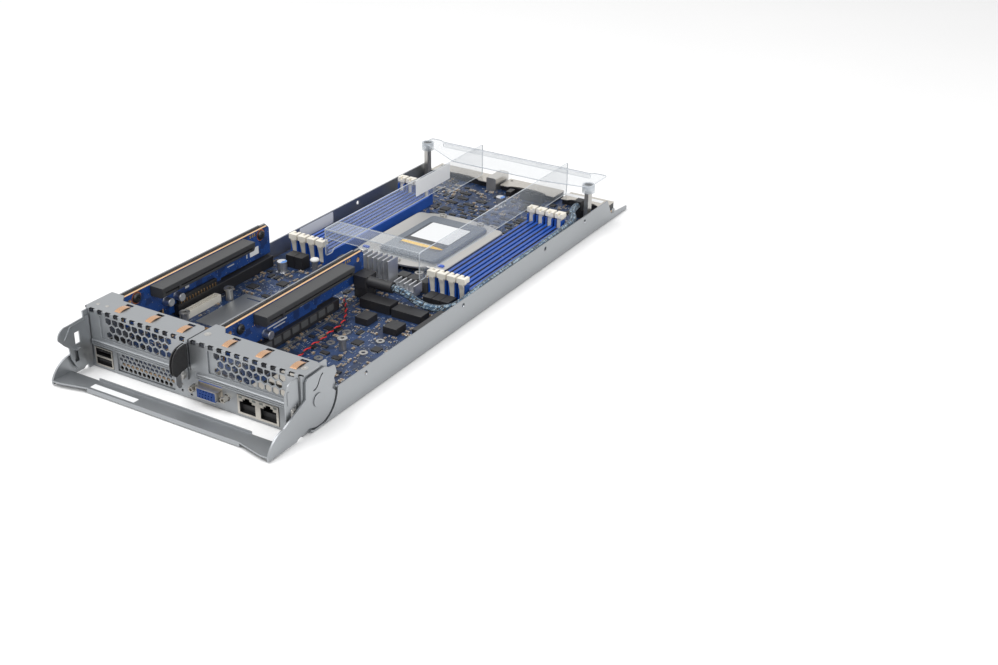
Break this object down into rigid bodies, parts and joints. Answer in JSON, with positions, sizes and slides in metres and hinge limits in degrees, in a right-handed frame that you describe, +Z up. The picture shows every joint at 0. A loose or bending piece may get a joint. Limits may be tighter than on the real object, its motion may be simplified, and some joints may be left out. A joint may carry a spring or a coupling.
{
  "type": "multi-node rack server",
  "caption": "Half-width rack server node: open steel tray with a bail handle, front ports, riser cages, main board with processor socket, latched memory sockets and a clear air duct.",
  "frame": {"origin": "middle of the bounding box at the underside of the tray floor", "axes": "+X to the right seen from the front, +Y from the handle to the rear connectors, +Z up"},
  "size_m": [0.172, 0.466, 0.042],
  "materials": {
    "galvanised_sheet": "satin zinc-plated sheet",
    "spring_steel": "satin",
    "nickel_shield": "bright nickel",
    "stainless_frame": "brushed",
    "board_laminate": "solder-mask gloss",
    "black_plastic": "matte",
    "black_rubber": "matte",
    "grey_plastic": "matte",
    "cream_plastic": "matte",
    "blue_plastic": "matte",
    "heatsink_aluminium": "satin",
    "ferrite": "matte",
    "can_aluminium": "satin",
    "braided_sleeve": "woven",
    "copper_alloy": "bright",
    "clear_plastic": "clear",
    "dark_screw": "black oxide"
  },
  "bodies": {
    "node": {"air_duct": "clear_plastic", "backplane_connectors": "black_plastic", "board_connectors": "black_plastic", "board_insulator": "black_plastic", "board_posts": "stainless_frame", "cable_plug": "black_plastic", "capacitors": "can_aluminium", "chokes": "ferrite", "coin_cell": "black_plastic", "connector_shells": "nickel_shield", "cpu_cap": "grey_plastic", "cpu_frame": "stainless_frame", "cpu_socket": "black_plastic", "dimm_sockets": "blue_plastic", "duct_pillars": "stainless_frame", "duct_screws": "dark_screw", "front_panel": "galvanised_sheet", "guide_block": "nickel_shield", "lan_ports": "nickel_shield", "left_card_slot": "black_plastic", "left_riser_cage": "galvanised_sheet", "left_riser_card": "board_laminate", "left_slot_cover": "galvanised_sheet", "left_spring_fingers": "copper_alloy", "main_board": "board_laminate", "mezzanine_blank": "galvanised_sheet", "mezzanine_connector": "cream_plastic", "middle_card_slot": "black_plastic", "middle_riser_cage": "galvanised_sheet", "middle_riser_card": "board_laminate", "middle_slot_cover": "galvanised_sheet", "middle_spring_fingers": "copper_alloy", "pull_pad": "black_rubber", "riser_sockets": "black_plastic", "shield_boxes": "nickel_shield", "signal_cable": "braided_sleeve", "tray_shell": "galvanised_sheet", "usb_ports": "nickel_shield", "vga_port": "nickel_shield", "vrm_heatsinks": "heatsink_aluminium"},
    "handle": {"handle": "galvanised_sheet"},
    "release_clip": {"release_clip": "spring_steel"},
    "left_thumbscrew": {"left_thumbscrew": "nickel_shield"},
    "middle_thumbscrew": {"middle_thumbscrew": "nickel_shield"},
    "latch_front_1": {"latch_front_1": "cream_plastic"},
    "latch_rear_1": {"latch_rear_1": "cream_plastic"},
    "latch_front_2": {"latch_front_2": "cream_plastic"},
    "latch_rear_2": {"latch_rear_2": "cream_plastic"},
    "latch_front_3": {"latch_front_3": "cream_plastic"},
    "latch_rear_3": {"latch_rear_3": "cream_plastic"},
    "latch_front_4": {"latch_front_4": "cream_plastic"},
    "latch_rear_4": {"latch_rear_4": "cream_plastic"},
    "latch_front_5": {"latch_front_5": "cream_plastic"},
    "latch_rear_5": {"latch_rear_5": "cream_plastic"},
    "latch_front_6": {"latch_front_6": "cream_plastic"},
    "latch_rear_6": {"latch_rear_6": "cream_plastic"},
    "latch_front_7": {"latch_front_7": "cream_plastic"},
    "latch_rear_7": {"latch_rear_7": "cream_plastic"},
    "latch_front_8": {"latch_front_8": "cream_plastic"},
    "latch_rear_8": {"latch_rear_8": "cream_plastic"}
  },
  "joints": [
    {"name": "handle_hinge", "type": "hinge", "parent": "node", "child": "handle", "pos_m": [0, -0.1855, 0.0186], "axis": [-1, 0, 0], "range_deg": [0, 22]},
    {"name": "release_flex", "type": "hinge", "parent": "node", "child": "release_clip", "pos_m": [-0.08225, -0.2006, 0.02], "axis": [0, 0, 1], "range_deg": [0, 6], "stiffness_Nm_per_rad": 0.05},
    {"name": "left_screw_turn", "type": "hinge", "parent": "node", "child": "left_thumbscrew", "pos_m": [-0.0039, -0.2, 0.017], "axis": [0, 1, 0], "continuous": true},
    {"name": "middle_screw_turn", "type": "hinge", "parent": "node", "child": "middle_thumbscrew", "pos_m": [0.0801, -0.2, 0.017], "axis": [0, 1, 0], "continuous": true},
    {"name": "latch_front_1_hinge", "type": "hinge", "parent": "node", "child": "latch_front_1", "pos_m": [-0.07229, -0.0038, 0.0094], "axis": [1, 0, 0], "range_deg": [0, 20]},
    {"name": "latch_rear_1_hinge", "type": "hinge", "parent": "node", "child": "latch_rear_1", "pos_m": [-0.07229, 0.1378, 0.0094], "axis": [-1, 0, 0], "range_deg": [0, 20]},
    {"name": "latch_front_2_hinge", "type": "hinge", "parent": "node", "child": "latch_front_2", "pos_m": [-0.06416, -0.0038, 0.0094], "axis": [1, 0, 0], "range_deg": [0, 20]},
    {"name": "latch_rear_2_hinge", "type": "hinge", "parent": "node", "child": "latch_rear_2", "pos_m": [-0.06416, 0.1378, 0.0094], "axis": [-1, 0, 0], "range_deg": [0, 20]},
    {"name": "latch_front_3_hinge", "type": "hinge", "parent": "node", "child": "latch_front_3", "pos_m": [-0.05603, -0.0038, 0.0094], "axis": [1, 0, 0], "range_deg": [0, 20]},
    {"name": "latch_rear_3_hinge", "type": "hinge", "parent": "node", "child": "latch_rear_3", "pos_m": [-0.05603, 0.1378, 0.0094], "axis": [-1, 0, 0], "range_deg": [0, 20]},
    {"name": "latch_front_4_hinge", "type": "hinge", "parent": "node", "child": "latch_front_4", "pos_m": [-0.0479, -0.0038, 0.0094], "axis": [1, 0, 0], "range_deg": [0, 20]},
    {"name": "latch_rear_4_hinge", "type": "hinge", "parent": "node", "child": "latch_rear_4", "pos_m": [-0.0479, 0.1378, 0.0094], "axis": [-1, 0, 0], "range_deg": [0, 20]},
    {"name": "latch_front_5_hinge", "type": "hinge", "parent": "node", "child": "latch_front_5", "pos_m": [0.0491, -0.0038, 0.0094], "axis": [1, 0, 0], "range_deg": [0, 20]},
    {"name": "latch_rear_5_hinge", "type": "hinge", "parent": "node", "child": "latch_rear_5", "pos_m": [0.0491, 0.1378, 0.0094], "axis": [-1, 0, 0], "range_deg": [0, 20]},
    {"name": "latch_front_6_hinge", "type": "hinge", "parent": "node", "child": "latch_front_6", "pos_m": [0.05723, -0.0038, 0.0094], "axis": [1, 0, 0], "range_deg": [0, 20]},
    {"name": "latch_rear_6_hinge", "type": "hinge", "parent": "node", "child": "latch_rear_6", "pos_m": [0.05723, 0.1378, 0.0094], "axis": [-1, 0, 0], "range_deg": [0, 20]},
    {"name": "latch_front_7_hinge", "type": "hinge", "parent": "node", "child": "latch_front_7", "pos_m": [0.06536, -0.0038, 0.0094], "axis": [1, 0, 0], "range_deg": [0, 20]},
    {"name": "latch_rear_7_hinge", "type": "hinge", "parent": "node", "child": "latch_rear_7", "pos_m": [0.06536, 0.1378, 0.0094], "axis": [-1, 0, 0], "range_deg": [0, 20]},
    {"name": "latch_front_8_hinge", "type": "hinge", "parent": "node", "child": "latch_front_8", "pos_m": [0.07349, -0.0038, 0.0094], "axis": [1, 0, 0], "range_deg": [0, 20]},
    {"name": "latch_rear_8_hinge", "type": "hinge", "parent": "node", "child": "latch_rear_8", "pos_m": [0.07349, 0.1378, 0.0094], "axis": [-1, 0, 0], "range_deg": [0, 20]}
  ]
}
